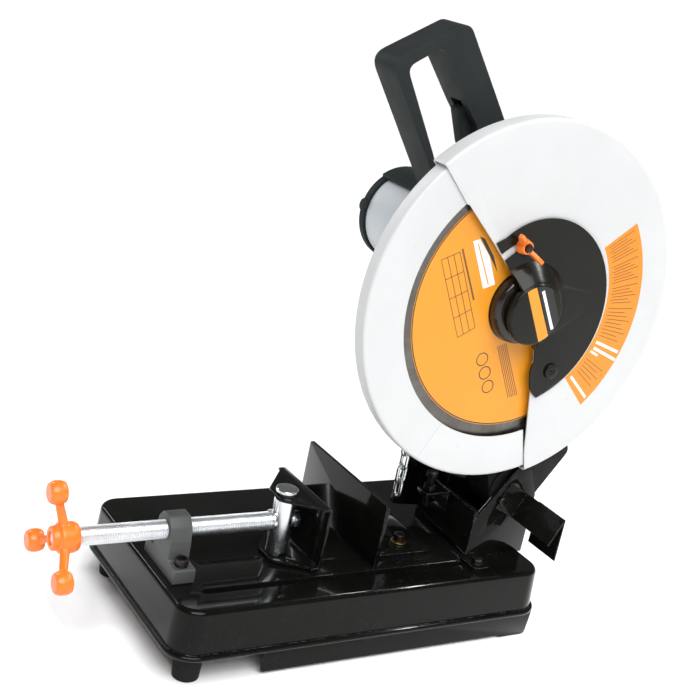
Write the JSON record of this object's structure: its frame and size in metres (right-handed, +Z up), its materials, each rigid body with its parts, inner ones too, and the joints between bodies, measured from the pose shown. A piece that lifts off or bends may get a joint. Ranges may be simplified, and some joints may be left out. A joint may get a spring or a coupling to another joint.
{
  "type": "metal-cutting chop saw",
  "caption": "Bench chop saw: toothed blade in a swinging head with retracting guard, over a pressed-steel table with screw vise and swivel fence.",
  "frame": {"origin": "centre of the bounding box at floor level, with the head up and the guard closed", "axes": "+Z up; +Y from the vise handle at the front to the upright at the back; +X to the operator's right, the blade side"},
  "size_m": [0.2674, 0.642, 0.636],
  "materials": {
    "table_paint": "gloss black paint on pressed steel",
    "rubber": "black moulded rubber",
    "zinc": "bright zinc plate",
    "spring_steel": "oiled spring wire",
    "block_paint": "satin dark grey paint on a casting",
    "black_bolt": "black oxide",
    "orange_paint": "orange powder coat",
    "cast_black": "satin black paint on cast aluminium",
    "bronze": "oiled bronze",
    "motor_grey": "light grey satin paint",
    "black_plastic": "fine-textured black nylon",
    "cover_black": "smooth satin black",
    "steel": "machined steel",
    "blade_steel": "ground steel with a printed disc",
    "guard_paint": "light grey-white powder coat"
  },
  "bodies": {
    "base": {"table": "table_paint", "foot_front_left": "rubber", "foot_front_right": "rubber", "foot_rear_left": "rubber", "foot_rear_right": "rubber", "side_plate": "table_paint", "upright_bracket": "table_paint", "upright_bolt_front": "zinc", "upright_bolt_left": "zinc", "upright_bolt_right": "zinc", "pivot_shaft": "zinc", "pivot_nut": "zinc", "depth_stop_bolt": "zinc", "depth_stop_locknut": "zinc", "return_spring": "spring_steel", "chip_deflector": "table_paint", "deflector_screw": "zinc", "vise_nut_block": "block_paint", "nut_block_bolt_right": "black_bolt", "nut_block_bolt_left": "black_bolt", "fence_pivot_bolt": "zinc", "fence_lock_bolt": "zinc"},
    "head": {"arm": "cast_black", "pivot_bush": "bronze", "chain_bracket": "zinc", "gearbox_housing": "cast_black", "motor_housing": "motor_grey", "motor_end_cap": "black_plastic", "brush_cap_rear": "black_plastic", "brush_cap_front": "black_plastic", "cord_gland": "rubber", "rotor_bearing": "steel", "bearing_rear": "steel", "bearing_front": "steel", "upper_guard": "guard_paint", "cover_pivot_screw": "black_bolt", "cover_stud": "zinc", "handle_half_right": "black_plastic", "handle_half_left": "black_plastic"},
    "spindle": {"spindle": "steel", "spindle_gear": "steel", "inner_flange": "steel", "blade": "blade_steel", "outer_flange": "black_bolt", "arbor_bolt": "zinc"},
    "rotor": {"rotor": "steel"},
    "ring_guard": {"retracting_guard": "guard_paint"},
    "cover": {"arbor_cover": "cover_black"},
    "wing_nut": {"wing_nut": "orange_paint"},
    "trigger": {"trigger": "black_plastic"},
    "chain": {"chain_link_1": "zinc", "chain_link_2": "zinc", "chain_link_3": "zinc", "chain_link_4": "zinc"},
    "carriage": {"jaw_pin": "zinc"},
    "screw": {"vise_screw": "zinc", "vise_handle": "orange_paint", "screw_end_nut": "zinc"},
    "jaw": {"vise_jaw": "table_paint"},
    "fence": {"fence": "table_paint"}
  },
  "joints": [
    {"name": "arm_pivot", "type": "hinge", "parent": "base", "child": "head", "pos_m": [0.04065, 0.19202, 0.158], "axis": [1, 0, 0], "range_deg": [0, 49], "stiffness_Nm_per_rad": 20, "springref_deg": -51.57},
    {"name": "blade_spin", "type": "hinge", "parent": "head", "child": "spindle", "pos_m": [0.07545, 0.12802, 0.376], "axis": [1, 0, 0], "continuous": true},
    {"name": "rotor_spin", "type": "hinge", "parent": "head", "child": "rotor", "pos_m": [-0.03735, 0.08772, 0.4177], "axis": [1, 0, 0], "continuous": true},
    {"name": "guard_retract", "type": "hinge", "parent": "head", "child": "ring_guard", "pos_m": [0.07265, 0.12802, 0.376], "axis": [1, 0, 0], "range_deg": [-138, 0]},
    {"name": "cover_swing", "type": "hinge", "parent": "head", "child": "cover", "pos_m": [0.08565, 0.18202, 0.3085], "axis": [1, 0, 0], "range_deg": [-100, 0]},
    {"name": "wing_nut_turn", "type": "hinge", "parent": "head", "child": "wing_nut", "pos_m": [0.09265, 0.10352, 0.442], "axis": [1, 0, 0], "continuous": true},
    {"name": "trigger_pull", "type": "hinge", "parent": "head", "child": "trigger", "pos_m": [0.00365, 0.08402, 0.509], "axis": [1, 0, 0], "range_deg": [-7, 0], "stiffness_Nm_per_rad": 0.3, "springref_deg": 17.19},
    {"name": "chain_swing", "type": "hinge", "parent": "head", "child": "chain", "pos_m": [-0.00735, 0.09302, 0.1885], "axis": [1, 0, 0], "range_deg": [-138, 0]},
    {"name": "jaw_feed", "type": "slide", "parent": "base", "child": "carriage", "axis": [0, 1, 0], "range_m": [-0.08, 0.03]},
    {"name": "screw_turn", "type": "hinge", "parent": "carriage", "child": "screw", "pos_m": [0.02465, -0.14998, 0.123], "axis": [0, 1, 0], "continuous": true},
    {"name": "jaw_swivel", "type": "hinge", "parent": "carriage", "child": "jaw", "pos_m": [0.02465, -0.06998, 0.12], "axis": [0, 0, 1], "range_deg": [-10, 10]},
    {"name": "fence_swivel", "type": "hinge", "parent": "base", "child": "fence", "pos_m": [0.02815, 0.08172, 0.084], "axis": [0, 0, 1], "range_deg": [-45, 0]}
  ],
  "couplings": [
    {"joint": "rotor_spin", "follows": "blade_spin", "ratio": -5.4444},
    {"joint": "guard_retract", "follows": "arm_pivot", "ratio": -2.8},
    {"joint": "chain_swing", "follows": "arm_pivot", "ratio": -2.8},
    {"joint": "screw_turn", "follows": "jaw_feed", "rad_per_m": 1570.8}
  ]
}
